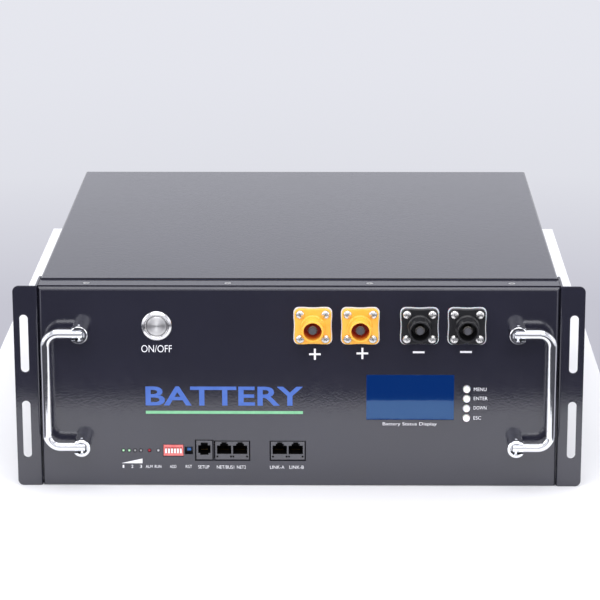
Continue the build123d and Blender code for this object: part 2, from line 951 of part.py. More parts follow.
def positive_cable():
    x = cell_columns()[0]
    y = row_y[0] + terminal_offset
    middle = sum(list(connector_x.values())[:2]) / 2
    lead = cable(
        [
            (x, y, bar_top + 2),
            (x, y, positive_deck),
            (x, y - 70, positive_deck),
            (x + 80, y - 150, positive_deck),
            (middle, y - 170, connector_z),
            (middle, output_bar_y[1], connector_z),
        ],
        [16, 60, 60, 34],
    )
    return lead + lug(x, y)


def negative_cables():
    """Lead from the last cell to the management board, and from the board to the connectors."""
    x = cell_columns()[0]
    y = row_y[1] - terminal_offset
    middle = sum(list(connector_x.values())[2:]) / 2
    cell_lead = cable(
        [
            (x, y, bar_top + 2),
            (x, y, negative_deck),
            (x + 30, y - 60, negative_deck),
            (board_stud_x[0], board_stud_y, negative_deck),
            (board_stud_x[0], board_stud_y, bms_z[1]),
        ],
        [26, 70, 40],
    )
    load_lead = cable(
        [
            (board_stud_x[1], board_stud_y, bms_z[1]),
            (board_stud_x[1], board_stud_y, connector_z),
            (middle, board_stud_y - 14, connector_z),
            (middle, output_bar_y[1], connector_z),
        ],
        [22, 38],
    )
    return [cell_lead + lug(x, y), load_lead]


# Output ---------------------------------------------------------------------

def nodes():
    parts = {
        "chassis_tray": chassis_tray(),
        "top_cover": top_cover(),
        "front_panel": front_panel(),
        "front_frame": front_frame(),
        "left_rack_ear": rack_ear(-1),
        "right_rack_ear": rack_ear(1),
        "panel_screws": panel_screws(),
        "side_screws": side_screws(),
        "left_handle_bow": handle_bow(-1),
        "right_handle_bow": handle_bow(1),
        "handle_posts": handle_posts(),
        "handle_pivot_pins": handle_pivot_pins(),
        "handle_screws": handle_screws(),
        "switch_housing": switch_housing(),
        "switch_cap": switch_cap(),
        "switch_nut": switch_nut(),
        "panel_seals": panel_seals(),
        "power_contacts": power_contacts(),
        "contact_tips": contact_tips(),
        "connector_screws": connector_screws(),
        "display_lens": display_lens(),
        "lcd_module": lcd_module(),
        "display_board": display_board(),
        "key_switches": key_switches(),
        "comms_board": comms_board(),
        "board_fixings": board_fixings(),
        "service_jack": service_jack(),
        "jack_contacts": jack_contacts(),
        "address_switch": address_switch(),
        "reset_switch": reset_switch(),
        "reset_button": reset_button(),
        "charge_lights": [light(x) for x in charge_light_x],
        "alarm_light": light(alarm_light_x),
        "run_light": light(run_light_x),
        "cells": cells(),
        "cell_terminals": cell_terminals(),
        "busbars": busbars(),
        "busbar_bolts": busbar_bolts(),
        "cell_clamp": cell_clamp(),
        "base_pad": base_pad(),
        "bms_board": bms_board(),
        "bms_heatsink": bms_heatsink(),
        "positive_cable": positive_cable(),
        "negative_cables": negative_cables(),
    }
    for name, x in connector_x.items():
        parts[name] = connector_housing(x)
    for name, z in zip(("menu_key", "enter_key", "down_key", "escape_key"), key_levels()):
        parts[name] = key_cap(z)
    for name, x in twin_jack_x.items():
        parts[name] = twin_jack(x)
    for index, x in enumerate(address_levels()):
        parts[f"address_slider_{index + 1}"] = address_slider(x)
    return parts


def write(parts):
    os.makedirs("parts", exist_ok=True)
    for name, shape in parts.items():
        solid = Compound(children=shape) if isinstance(shape, list) else shape
        export_step(solid, f"parts/{name}.step")


write(nodes())
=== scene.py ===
import json
import math
import bmesh
import bpy
from mathutils import Matrix, Vector

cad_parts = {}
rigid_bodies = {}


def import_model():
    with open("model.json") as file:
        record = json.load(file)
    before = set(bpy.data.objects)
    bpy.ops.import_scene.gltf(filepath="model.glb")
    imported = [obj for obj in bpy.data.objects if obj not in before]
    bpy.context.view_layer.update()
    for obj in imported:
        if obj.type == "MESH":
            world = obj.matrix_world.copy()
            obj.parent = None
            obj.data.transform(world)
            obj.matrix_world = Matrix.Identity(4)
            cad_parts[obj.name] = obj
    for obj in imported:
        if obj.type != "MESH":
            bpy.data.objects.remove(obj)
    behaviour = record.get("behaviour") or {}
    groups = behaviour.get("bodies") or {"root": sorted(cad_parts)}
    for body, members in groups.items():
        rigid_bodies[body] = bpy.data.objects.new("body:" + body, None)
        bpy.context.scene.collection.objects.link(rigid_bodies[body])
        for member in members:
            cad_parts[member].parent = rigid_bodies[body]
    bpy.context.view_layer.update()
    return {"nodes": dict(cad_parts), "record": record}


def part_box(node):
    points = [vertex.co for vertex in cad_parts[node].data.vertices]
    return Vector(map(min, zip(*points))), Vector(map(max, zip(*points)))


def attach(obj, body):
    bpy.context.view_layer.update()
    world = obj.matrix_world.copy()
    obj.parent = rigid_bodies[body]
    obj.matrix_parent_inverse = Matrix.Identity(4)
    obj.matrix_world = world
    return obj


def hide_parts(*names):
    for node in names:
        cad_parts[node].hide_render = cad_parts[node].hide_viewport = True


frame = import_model()
cadNodes = frame["nodes"]
record = frame["record"]
mm = 0.001
origin = Vector((0, 0, 0))

bodyOf = {}
for bodyName, members in record["behaviour"]["bodies"].items():
    for member in members:
        bodyOf[member] = bodyName

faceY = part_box("front_panel")[0].y   # the plane of the front panel's face


def boxCentre(name):
    low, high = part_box(name)
    return (low + high) / 2


def linear(hexColour):
    # sRGB hex to linear
    channels = [int(hexColour[start:start + 2], 16) / 255 for start in (1, 3, 5)]
    curved = [c / 12.92 if c <= 0.04045 else ((c + 0.055) / 1.055) ** 2.4 for c in channels]
    return (*curved, 1.0)


def addNode(tree, kind, sockets=None, stops=None, **settings):
    # sockets takes a value or a link by socket name, stops are a colour ramp's places and colours
    made = tree.nodes.new("ShaderNode" + kind)
    for name, value in settings.items():
        setattr(made, name, value)
    for name, value in (sockets or {}).items():
        if isinstance(value, bpy.types.NodeSocket):
            tree.links.new(value, made.inputs[name])
        else:
            made.inputs[name].default_value = value
    for index, (position, colour) in enumerate(stops or []):
        ramp = made.color_ramp.elements
        stop = ramp[index] if index < 2 else ramp.new(position)
        stop.position = position
        stop.color = colour
    return made


def startMaterial(name, **sockets):
    material = bpy.data.materials.new(name)
    material.use_nodes = True
    tree = material.node_tree
    tree.nodes.clear()
    shader = addNode(tree, "BsdfPrincipled", sockets)
    addNode(tree, "OutputMaterial", {"Surface": shader.outputs["BSDF"]})
    coords = addNode(tree, "TexCoord").outputs["Object"]
    return material, tree, shader, coords


def surface(name, look):
    # colour drift, roughness drift and a fine bump, each at its own real size in millimetres
    material, tree, shader, coords = startMaterial(name, **look.get("sockets", {}))
    drift = addNode(tree, "TexNoise", {"Vector": coords, "Detail": 4.0,
                                       "Scale": 1 / (look["driftSize"] * mm)})
    tint = addNode(tree, "ValToRGB", {"Fac": drift.outputs["Fac"]},
                   stops=[(0.3, linear(look["colours"][0])), (0.7, linear(look["colours"][1]))])
    tree.links.new(tint.outputs["Color"], shader.inputs["Base Color"])
    wear = addNode(tree, "TexNoise", {"Vector": coords, "Detail": 3.0,
                                      "Scale": 1 / (look["wearSize"] * mm)})
    rough = addNode(tree, "MapRange", {"Value": wear.outputs["Fac"], "From Min": 0.3, "From Max": 0.7,
                                       "To Min": look["roughness"][0], "To Max": look["roughness"][1]})
    tree.links.new(rough.outputs["Result"], shader.inputs["Roughness"])
    grain = addNode(tree, "TexNoise", {"Vector": coords, "Detail": 2.0,
                                       "Scale": 1 / (look["grainSize"] * mm)})
    bump = addNode(tree, "Bump", {"Height": grain.outputs["Fac"], "Strength": 1.0,
                                  "Distance": look["grainDepth"] * mm})
    tree.links.new(bump.outputs["Normal"], shader.inputs["Normal"])
    return material


# each look gives colours, then the sizes of colour drift, wear and grain and the grain's depth in millimetres

# polyester powder coat, sprayed and baked: blue black, glossy enough to mirror the table, with orange peel
powderCoat = surface("blueBlackPowderCoat", {
    "colours": ("#22222e", "#252532"), "driftSize": 70, "wearSize": 6, "roughness": (0.11, 0.15),
    "grainSize": 1.9, "grainDepth": 0.05, "sockets": {"Specular IOR Level": 1.0, "IOR": 1.5}})

# nickel chrome plate on polished steel: mirror with a cool tint, hairline polish marks
chromePlate = surface("polishedChromePlate", {
    "colours": ("#e6e7ea", "#f0f1f4"), "driftSize": 25, "wearSize": 4, "roughness": (0.08, 0.13),
    "grainSize": 2.5, "grainDepth": 0.003, "sockets": {"Metallic": 1.0}})

# zinc plated steel: pale, slightly cloudy metal
zincPlate = surface("brightZincPlate", {
    "colours": ("#b9bcc0", "#d2d4d6"), "driftSize": 3, "wearSize": 1.5, "roughness": (0.22, 0.36),
    "grainSize": 0.4, "grainDepth": 0.004, "sockets": {"Metallic": 1.0}})

# stainless machine screws: brighter and whiter than zinc
stainlessScrew = surface("stainlessScrew", {
    "colours": ("#d2d1d0", "#e8e7e5"), "driftSize": 2, "wearSize": 1.2, "roughness": (0.22, 0.34),
    "grainSize": 0.5, "grainDepth": 0.004, "sockets": {"Metallic": 1.0}})

# glass filled nylon, moulded: amber, with painted shade and a painted glow deep in the bore
orangeNylon = surface("orangeNylon", {
    "colours": ("#fcb63c", "#ffc24c"), "driftSize": 12, "wearSize": 3, "roughness": (0.28, 0.38),
    "grainSize": 0.35, "grainDepth": 0.006,
    "sockets": {"Subsurface Weight": 0.1, "Subsurface Scale": 0.002, "IOR": 1.53}})

# the painted shade colour of the bore's wall, and the painted glow at its mouth, middle and floor
boreShadeAndGlow = {"wall": "#8e1606", "mouthGlow": "#000000", "middleGlow": "#641005", "floorGlow": "#3c0803",
            "middle": 0.45}


def paintBoreShadeAndGlow(material):
    # painted shade: the base colour turns deep red towards the floor of the bore, and a painted glow is added
    # there as emission
    tree = material.node_tree
    shader = tree.nodes["Principled BSDF"]
    shellTint = shader.inputs["Base Color"].links[0].from_socket
    depth = addNode(tree, "Attribute", attribute_name="boreDepth").outputs["Fac"]
    tint = addNode(tree, "Mix", {"Factor": depth, 6: shellTint, 7: linear(boreShadeAndGlow["wall"])},
                   data_type="RGBA")
    tree.links.new(tint.outputs[2], shader.inputs["Base Color"])
    # painted glow: emission that rises with the depth of the bore
    glow = addNode(tree, "ValToRGB", {"Fac": depth}, stops=[
        (0.0, linear(boreShadeAndGlow["mouthGlow"])),
        (boreShadeAndGlow["middle"], linear(boreShadeAndGlow["middleGlow"])),
        (1.0, linear(boreShadeAndGlow["floorGlow"]))])
    tree.links.new(glow.outputs["Color"], shader.inputs["Emission Color"])
    shader.inputs["Emission Strength"].default_value = 1.0


paintBoreShadeAndGlow(orangeNylon)

# the same nylon in black: satin, with soft highlights on its rounded edges
blackNylon = surface("blackNylon", {
    "colours": ("#17171a", "#1d1d21"), "driftSize": 10, "wearSize": 3, "roughness": (0.28, 0.40),
    "grainSize": 0.35, "grainDepth": 0.006, "sockets": {"IOR": 1.53}})

# socket housings: thermoplastic polyester, a little greyer and flatter than the nylon
socketPolyester = surface("socketPolyester", {
    "colours": ("#33333b", "#3b3b43"), "driftSize": 8, "wearSize": 2, "roughness": (0.16, 0.24),
    "grainSize": 0.6, "grainDepth": 0.004, "sockets": {"IOR": 1.57, "Specular IOR Level": 0.9}})

# grey nylon cap on the contact, moulded: matt, with a fine grain
greyTip = surface("greyNylonTip", {
    "colours": ("#46464c", "#4e4e54"), "driftSize": 3, "wearSize": 1, "roughness": (0.35, 0.5),
    "grainSize": 0.3, "grainDepth": 0.006})

# silicone rubber keys, moulded: bright white and satin, light spreads inside them
whiteSilicone = surface("whiteSiliconeKey", {
    "colours": ("#f7f7f6", "#fdfdfd"), "driftSize": 3, "wearSize": 1, "roughness": (0.32, 0.42),
    "grainSize": 0.6, "grainDepth": 0.003,
    "sockets": {"Subsurface Weight": 0.2, "Subsurface Scale": 0.002}})

# cut silicone sheet: milky and flat, it shows as a pale outline round each flange
gasketSilicone = surface("milkySiliconeGasket", {
    "colours": ("#e2e2e6", "#eeeef2"), "driftSize": 6, "wearSize": 2, "roughness": (0.45, 0.55),
    "grainSize": 0.6, "grainDepth": 0.01,
    "sockets": {"Subsurface Weight": 0.2, "Subsurface Scale": 0.002}})

# polyester switch body, moulded: a pale red with a soft gloss
redPolyester = surface("redPolyester", {
    "colours": ("#e46c6c", "#ee8884"), "driftSize": 5, "wearSize": 2, "roughness": (0.30, 0.40),
    "grainSize": 0.3, "grainDepth": 0.003})

# acetal plunger, moulded: clear blue, waxy gloss
blueAcetal = surface("blueAcetal", {
    "colours": ("#2a72c8", "#3a86dc"), "driftSize": 2, "wearSize": 1, "roughness": (0.25, 0.35),
    "grainSize": 0.3, "grainDepth": 0.003})

# silver plate on turned copper: warm white metal
silverPlate = surface("silverPlate", {
    "colours": ("#cfc8bb", "#ddd7cb"), "driftSize": 4, "wearSize": 2, "roughness": (0.15, 0.28),
    "grainSize": 0.5, "grainDepth": 0.003, "sockets": {"Metallic": 1.0}})

# thin gold over nickel, darkened with painted shade, since it is seen only deep in the sockets
goldFlashPaintedShade = surface("goldFlashPaintedShade", {
    "colours": ("#7a6238", "#8f7444"), "driftSize": 2, "wearSize": 1, "roughness": (0.3, 0.42),
    "grainSize": 0.5, "grainDepth": 0.002, "sockets": {"Metallic": 1.0}})

# painted shade: the same polyester made near black inside the sockets, where no light gets out
socketPaintedShade = surface("socketPolyesterPaintedShade", {
    "colours": ("#060607", "#0a0a0c"), "driftSize": 8, "wearSize": 2, "roughness": (0.5, 0.6),
    "grainSize": 0.6, "grainDepth": 0.004, "sockets": {"Specular IOR Level": 0.15}})

# circuit board under green solder mask: dark green, glossy, slightly uneven
solderMask = surface("greenSolderMask", {
    "colours": ("#0c4a2a", "#125a34"), "driftSize": 8, "wearSize": 3, "roughness": (0.3, 0.4),
    "grainSize": 0.8, "grainDepth": 0.008})

# the same mask in black
blackMask = surface("blackSolderMask", {
    "colours": ("#0b0c0d", "#111213"), "driftSize": 8, "wearSize": 3, "roughness": (0.35, 0.45),
    "grainSize": 0.8, "grainDepth": 0.008})

# shrunk polyester film round each cell: blue and glossy, with slow ripples
cellWrap = surface("blueCellWrap", {
    "colours": ("#164a8c", "#1c579e"), "driftSize": 40, "wearSize": 12, "roughness": (0.2, 0.32),
    "grainSize": 3.0, "grainDepth": 0.02})

# aluminium as rolled or extruded: pale, half matt metal
millAluminium = surface("millAluminium", {
    "colours": ("#bfc1c4", "#cfd0d2"), "driftSize": 15, "wearSize": 4, "roughness": (0.28, 0.42),
    "grainSize": 0.6, "grainDepth": 0.006, "sockets": {"Metallic": 1.0}})

# punched copper bar: warm, half matt metal
barCopper = surface("copperBar", {
    "colours": ("#c07a4c", "#cf8a5a"), "driftSize": 10, "wearSize": 4, "roughness": (0.22, 0.35),
    "grainSize": 0.6, "grainDepth": 0.005, "sockets": {"Metallic": 1.0}})

# glass epoxy laminate, cut from sheet: dull green
epoxySheet = surface("epoxySheet", {
    "colours": ("#3c6a52", "#477860"), "driftSize": 12, "wearSize": 4, "roughness": (0.4, 0.55),
    "grainSize": 0.8, "grainDepth": 0.01})

# extruded silicone jacket of the positive lead: dull, deep red
redJacket = surface("redSiliconeJacket", {
    "colours": ("#8f1616", "#a01d1b"), "driftSize": 15, "wearSize": 5, "roughness": (0.42, 0.55),
    "grainSize": 0.8, "grainDepth": 0.01})

# the same jacket in black for the negative leads
blackJacket = surface("blackSiliconeJacket", {
    "colours": ("#141415", "#1b1b1c"), "driftSize": 15, "wearSize": 5, "roughness": (0.42, 0.55),
    "grainSize": 0.8, "grainDepth": 0.01})

# epoxy ink, screen printed: flat and thin, with a faint texture from the mesh
whiteInk = surface("whiteScreenInk", {
    "colours": ("#eeeef2", "#f8f8fb"), "driftSize": 2, "wearSize": 1, "roughness": (0.35, 0.45),
    "grainSize": 0.3, "grainDepth": 0.002})

# the same ink in mid blue, on the word
blueInk = surface("blueScreenInk", {
    "colours": ("#4266b6", "#4a6ebe"), "driftSize": 6, "wearSize": 2, "roughness": (0.28, 0.38),
    "grainSize": 0.3, "grainDepth": 0.002})

# the same ink in pale green, on the rule
greenInk = surface("greenScreenInk", {
    "colours": ("#7abc8e", "#86c89a"), "driftSize": 6, "wearSize": 2, "roughness": (0.28, 0.38),
    "grainSize": 0.3, "grainDepth": 0.002})


waveLength = math.tau / 20   # of a wave texture at a scale of one


def spunStainless(name, axisPoint, look):
    # lathe turned stainless: fine rings about the part's own axis pull each highlight out along the radius,
    # so it is bright above and below the centre and darker at the sides
    # the rings that tint it are drawn far coarser than the tool's, to show at all
    material, tree, shader, coords = startMaterial(
        name, Metallic=1.0, Roughness=look["roughness"], Anisotropic=look["pull"])
    centred = addNode(tree, "Mapping", {"Vector": coords, "Location": -axisPoint}).outputs["Vector"]
    outward = addNode(tree, "VectorMath", {0: centred, 1: (1.0, 0.0, 1.0)}, operation="MULTIPLY")
    tree.links.new(outward.outputs["Vector"], shader.inputs["Tangent"])
    rings = addNode(tree, "TexWave", {"Vector": centred, "Scale": waveLength / (look["ringSpacing"] * mm),
                                      "Distortion": 0.6, "Detail": 2.0, "Detail Scale": 2.0},
                    wave_type="RINGS", rings_direction="Y")
    tint = addNode(tree, "ValToRGB", {"Fac": rings.outputs["Fac"]},
                   stops=[(0.0, linear(look["colours"][0])), (1.0, linear(look["colours"][1]))])
    tree.links.new(tint.outputs["Color"], shader.inputs["Base Color"])
    return material


switchAxis = boxCentre("switch_cap")   # the turned parts' own axis
spunCap = spunStainless("spunStainlessCap", switchAxis, {
    "roughness": 0.48, "pull": 0.88, "ringSpacing": 5.655, "colours": ("#dcdbdc", "#eae9ea")})
spunBezel = spunStainless("spunStainlessBezel", switchAxis, {
    "roughness": 0.25, "pull": 0.6, "ringSpacing": 4.398, "colours": ("#e4e3e4", "#f0eff0")})

windowLook = {"tint": "#eef4ff", "bloom": "#b4e6ff", "rippleSize": 30, "rippleDepth": 0.004}
screenLook = {"body": "#00030a", "darkDot": "#002b6c", "lightDot": "#002f74", "dotSize": 0.8}


def clearAcrylic():
    # cast acrylic window: clear and glossy, its hard coat has a blue green bloom
    material, tree, shader, coords = startMaterial("clearAcrylic", Roughness=0.02, IOR=1.49)
    shader.inputs["Transmission Weight"].default_value = 1.0
    shader.inputs["Base Color"].default_value = linear(windowLook["tint"])
    shader.inputs["Specular Tint"].default_value = linear(windowLook["bloom"])
    ripple = addNode(tree, "TexNoise", {"Vector": coords, "Detail": 1.0,
                                        "Scale": 1 / (windowLook["rippleSize"] * mm)})
    bump = addNode(tree, "Bump", {"Height": ripple.outputs["Fac"], "Strength": 1.0,
                                  "Distance": windowLook["rippleDepth"] * mm})
    tree.links.new(bump.outputs["Normal"], shader.inputs["Normal"])
    return material


def blueScreen():
    # back lit liquid crystal: deep blue with a fine dot grid, drawn coarse enough to show
    material, tree, shader, coords = startMaterial("blueLiquidCrystal", Roughness=0.06)
    shader.inputs["Base Color"].default_value = linear(screenLook["body"])
    shader.inputs["Specular Tint"].default_value = linear(windowLook["bloom"])
    dots = addNode(tree, "TexChecker", {"Vector": coords, "Scale": 1 / (screenLook["dotSize"] * mm),
                                        "Color1": linear(screenLook["darkDot"]),
                                        "Color2": linear(screenLook["lightDot"])})
    tree.links.new(dots.outputs["Color"], shader.inputs["Emission Color"])
    shader.inputs["Emission Strength"].default_value = 1.0
    return material


lensLook = {"roughness": 0.1, "specular": 0.35, "cloudSize": 1.2, "glowStart": 0.1, "glowFull": 0.65}


def lamp(name, look):
    # cast epoxy lens over a small die: dark glossy body, and emission only near its axis, which is the die's
    # light on a lit lamp and a painted glint on a dark one
    material, tree, shader, coords = startMaterial(name, Roughness=lensLook["roughness"])
    cloud = addNode(tree, "TexNoise", {"Vector": coords, "Detail": 2.0,
                                       "Scale": 1 / (lensLook["cloudSize"] * mm)})
    shade = addNode(tree, "ValToRGB", {"Fac": cloud.outputs["Fac"]},
                    stops=[(0.3, linear(look["body"][0])), (0.7, linear(look["body"][1]))])
    tree.links.new(shade.outputs["Color"], shader.inputs["Base Color"])
    glow = addNode(tree, "Attribute", attribute_name="glow")
    light = addNode(tree, "ValToRGB", {"Fac": glow.outputs["Fac"]},
                    stops=[(lensLook["glowStart"], linear("#000000")),
                           (lensLook["glowFull"], linear(look["glow"]))])
    tree.links.new(light.outputs["Color"], shader.inputs["Emission Color"])
    shader.inputs["Emission Strength"].default_value = 1.0
    shader.inputs["Specular IOR Level"].default_value = lensLook["specular"]
    return material


windowAcrylic = clearAcrylic()
screenBlue = blueScreen()
greenLamp = lamp("greenLampLit", {"body": ("#12381f", "#1c5030"), "glow": "#c4f0cc"})
# the dark lamps' glow is a painted glint: they give no light of their own
clearLampPaintedGlint = lamp("clearLampDarkPaintedGlint", {"body": ("#0c0c0e", "#141518"), "glow": "#a4a4aa"})
runLampPaintedGlint = lamp("smokyLampDarkPaintedGlint", {"body": ("#3a3b41", "#4c4d54"), "glow": "#c4c4ca"})
redLampPaintedGlint = lamp("redLampDarkPaintedGlint", {"body": ("#560812", "#780e1b"), "glow": "#8c2436"})
print("finishes made")


def pieceName(node):
    first, *rest = node.split("_")
    return first + "".join(word.capitalize() for word in rest)


def addPiece(name, bm, material, node=None, smoothAngle=35):
    # takes the place of its CAD node, or is ink on the case if it has none
    for face in bm.faces:
        face.smooth = True
    for edge in bm.edges:
        if len(edge.link_faces) == 2:
            edge.smooth = edge.calc_face_angle(0.0) < math.radians(smoothAngle)
    mesh = bpy.data.meshes.new(name)
    bm.to_mesh(mesh)
    bm.free()
    mesh.materials.append(material)
    piece = bpy.data.objects.new(name, mesh)
    bpy.context.scene.collection.objects.link(piece)
    if not node:
        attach(piece, "case")
        return piece
    piece.modifiers.new("faceWeights", "WEIGHTED_NORMAL").keep_sharp = True
    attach(piece, bodyOf[node])
    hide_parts(node)
    return piece


def sharpEdges(bm, angle):
    limit = math.radians(angle)
    return [e for e in bm.edges if len(e.link_faces) == 2 and e.calc_face_angle(0.0) > limit]


def breakEdges(bm, width, angle=40, segments=2):
    bmesh.ops.bevel(bm, geom=sharpEdges(bm, angle), offset=width * mm, offset_type="OFFSET",
                    segments=segments, profile=0.5, affect="EDGES", material=-1, clamp_overlap=True)


def cleanCopy(name):
    # a welded copy of a CAD node, with its flat triangles joined into whole faces
    bm = bmesh.new()
    bm.from_mesh(cadNodes[name].data)
    bmesh.ops.remove_doubles(bm, verts=bm.verts, dist=0.001 * mm)
    bmesh.ops.dissolve_limit(bm, angle_limit=math.radians(0.5), verts=bm.verts, edges=bm.edges)
    return bm


def dress(node, material, edge=0.0, smoothAngle=35):
    # the CAD node's own shape with its edges broken
    bm = cleanCopy(node)
    if edge:
        breakEdges(bm, edge)
    return addPiece(pieceName(node), bm, material, node=node, smoothAngle=smoothAngle)


def lathe(profile, axisPoint, steps=64):
    # profile is a list of (radius, distance along Y from the axis point), in millimetres
    bm = bmesh.new()
    points = [bm.verts.new((radius * mm, along * mm, 0)) for radius, along in profile]
    lines = [bm.edges.new(pair) for pair in zip(points, points[1:])]
    bmesh.ops.spin(bm, geom=points + lines, cent=(0, 0, 0), axis=(0, 1, 0), angle=math.tau, steps=steps,
                   use_merge=True, use_duplicate=False)
    bmesh.ops.remove_doubles(bm, verts=bm.verts, dist=0.0005 * mm)
    bmesh.ops.recalc_face_normals(bm, faces=bm.faces)
    bmesh.ops.translate(bm, verts=bm.verts, vec=axisPoint)
    return bm


def joinInto(target, extra):
    # adds a second bmesh's shape to the first
    scratch = bpy.data.meshes.new("scratch")
    extra.to_mesh(scratch)
    extra.free()
    target.from_mesh(scratch)
    bpy.data.meshes.remove(scratch)


# how far each folded sheet's edges are broken, in millimetres
sheetMetal = {"front_panel": 0.12, "front_frame": 0.15, "top_cover": 0.12, "chassis_tray": 0.15,
              "left_rack_ear": 0.25, "right_rack_ear": 0.25}
for node, edge in sheetMetal.items():
    dress(node, powderCoat, edge)
print("sheet metal dressed")


# folding handles

handle = {"sides": 40, "bendSteps": 14, "bendRadius": 11.0, "endRound": 0.9, "postEdge": 0.25,
          "pinEdge": 0.15}


def makeBow(node):
    # a round bar drawn out from one foot, up the grip and back to the other foot
    low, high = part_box(node)
    outward = 1 if low.x > 0 else -1
    radius = (high.y - low.y) / 2
    bend = handle["bendRadius"] * mm
    inner = low.x if outward > 0 else high.x
    grip = (high.x if outward > 0 else low.x) - outward * radius
    axisY = (low.y + high.y) / 2
    lowLeg = low.z + radius
    highLeg = high.z - radius
    legEnd = grip - outward * bend
    gripTop = highLeg - bend
    climb = highLeg - lowLeg - 2 * bend
    quarter = math.radians(90) * outward
    nearly = 0.001 * mm
    bm = bmesh.new()

    def straight(ring, move):
        made = bmesh.ops.extrude_edge_only(bm, edges=ring)["geom"]
        bmesh.ops.translate(bm, verts=[g for g in made if isinstance(g, bmesh.types.BMVert)], vec=move)
        return [g for g in made if isinstance(g, bmesh.types.BMEdge)]

    def turn(ring, centre, angle):
        made = bmesh.ops.spin(bm, geom=ring, cent=centre, axis=(0, 1, 0), angle=angle,
                              steps=handle["bendSteps"], use_merge=False, use_duplicate=False)
        return [g for g in made["geom_last"] if isinstance(g, bmesh.types.BMEdge)]

    def endRing(edges, test):
        return [edge for edge in edges if all(test(vert.co) for vert in edge.verts)]

    place = Matrix.Translation((inner, axisY, lowLeg)) @ Matrix.Rotation(math.radians(90), 4, "Y")
    bmesh.ops.create_circle(bm, cap_ends=True, radius=radius, segments=handle["sides"], matrix=place)
    ring = straight(list(bm.edges), (legEnd - inner, 0, 0))
    ring = endRing(ring, lambda co: abs(co.x - legEnd) < nearly)
    ring = turn(ring, (legEnd, axisY, lowLeg + bend), -quarter)
    ring = endRing(straight(ring, (0, 0, climb)), lambda co: abs(co.z - gripTop) < nearly)
    ring = turn(ring, (legEnd, axisY, gripTop), -quarter)
    ring = straight(ring, (inner - legEnd, 0, 0))
    ring = endRing(ring, lambda co: abs(co.x - inner) < nearly)
    bmesh.ops.edgeloop_fill(bm, edges=ring)
    bmesh.ops.remove_doubles(bm, verts=bm.verts, dist=0.001 * mm)
    bmesh.ops.recalc_face_normals(bm, faces=bm.faces)
    breakEdges(bm, handle["endRound"], angle=60, segments=3)
    addPiece(pieceName(node), bm, chromePlate, node=node, smoothAngle=40)


makeBow("left_handle_bow")
makeBow("right_handle_bow")
dress("handle_posts", chromePlate, handle["postEdge"], smoothAngle=40)
dress("handle_pivot_pins", chromePlate, handle["pinEdge"])
print("handles made")


# power switch

# radius and distance behind the front, in millimetres
# the bezel's face is a cone that falls away to its rim, so it takes light from above and below
switchShape = {
    "steps": 96, "gasket": 0.5,
    "bezel": [(8.45, 12.0), (8.45, 2.2), (8.85, 2.0), (9.05, 0.9), (9.3, 0.35), (9.7, 0.05), (10.2, 0.0),
              (10.9, 0.25), (12.2, 1.0), (12.65, 1.3), (12.8, 1.6)],
    "barrel": [(11.0, 22.6), (9.0, 22.6), (9.0, 38.6), (0.0, 38.6)],
    "cap": [(0.0, 0.0), (1.5, 0.01), (3.0, 0.05), (4.5, 0.12), (6.0, 0.22), (7.2, 0.34), (7.8, 0.45),
            (8.2, 0.7), (8.4, 1.1), (8.4, 7.0), (0.0, 7.0)],
}


def makeSwitch():
    shape = switchShape
    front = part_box("switch_housing")[0].y
    seat = (faceY - front) / mm - shape["gasket"]
    rim = shape["bezel"][-1][0]
    barrel = shape["barrel"][0][0]
    profile = shape["bezel"] + [(rim, seat), (barrel, seat)] + shape["barrel"]
    bezel = lathe(profile, Vector((switchAxis.x, front, switchAxis.z)), steps=shape["steps"])
    addPiece("switchHousing", bezel, spunBezel, node="switch_housing", smoothAngle=50)
    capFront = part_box("switch_cap")[0].y
    cap = lathe(shape["cap"], Vector((switchAxis.x, capFront, switchAxis.z)), steps=shape["steps"])
    addPiece("switchCap", cap, spunCap, node="switch_cap", smoothAngle=50)


makeSwitch()
print("power switch made")


# connectors

connector = {"bore": 7.75, "boreDepth": 12.0, "screwOffset": 10.7, "edge": 0.3, "tipEdge": 0.2}
screwHead = {"radius": 3.6, "rise": 2.4, "rim": 0.5, "shank": 2.0, "length": 13.0, "arcSteps": 7, "steps": 32,
             "crossArm": 1.9, "crossWidth": 0.65, "crossDepth": 0.9, "firstTurn": 17, "turnStep": 31}
connectorFinish = {"positive_connector_1": orangeNylon, "positive_connector_2": orangeNylon,
                   "negative_connector_1": blackNylon, "negative_connector_2": blackNylon}


def makeConnector(node, material):
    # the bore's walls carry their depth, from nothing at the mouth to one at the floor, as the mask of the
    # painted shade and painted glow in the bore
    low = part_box(node)[0]
    middle = boxCentre(node)
    bm = cleanCopy(node)
    breakEdges(bm, connector["edge"], segments=3)
    depth = bm.verts.layers.float.new("boreDepth")
    for vert in bm.verts:
        radius = math.hypot(vert.co.x - middle.x, vert.co.z - middle.z) / mm
        if radius < connector["bore"]:
            vert[depth] = min(1.0, max(0.0, (vert.co.y - low.y) / mm / connector["boreDepth"]))
    addPiece(pieceName(node), bm, material, node=node)


def cutAway(bm, cutters):
    # takes each cutter's shape out of the first shape
    scene = bpy.context.scene.collection.objects
    blank = bpy.data.objects.new("blank", bpy.data.meshes.new("blank"))
    bm.to_mesh(blank.data)
    bm.free()
    scene.link(blank)
    tools = []
    for cutter in cutters:
        tool = bpy.data.objects.new("cutter", bpy.data.meshes.new("cutter"))
        cutter.to_mesh(tool.data)
        cutter.free()
        scene.link(tool)
        cut = blank.modifiers.new("cut", "BOOLEAN")
        cut.object = tool
        cut.operation = "DIFFERENCE"
        tools.append(tool)
    bpy.context.view_layer.update()
    result = bpy.data.meshes.new_from_object(blank.evaluated_get(bpy.context.evaluated_depsgraph_get()))
    cutShape = bmesh.new()
    cutShape.from_mesh(result)
    bpy.data.meshes.remove(result)
    for leftover in [blank, *tools]:
        bpy.data.objects.remove(leftover)
    return cutShape


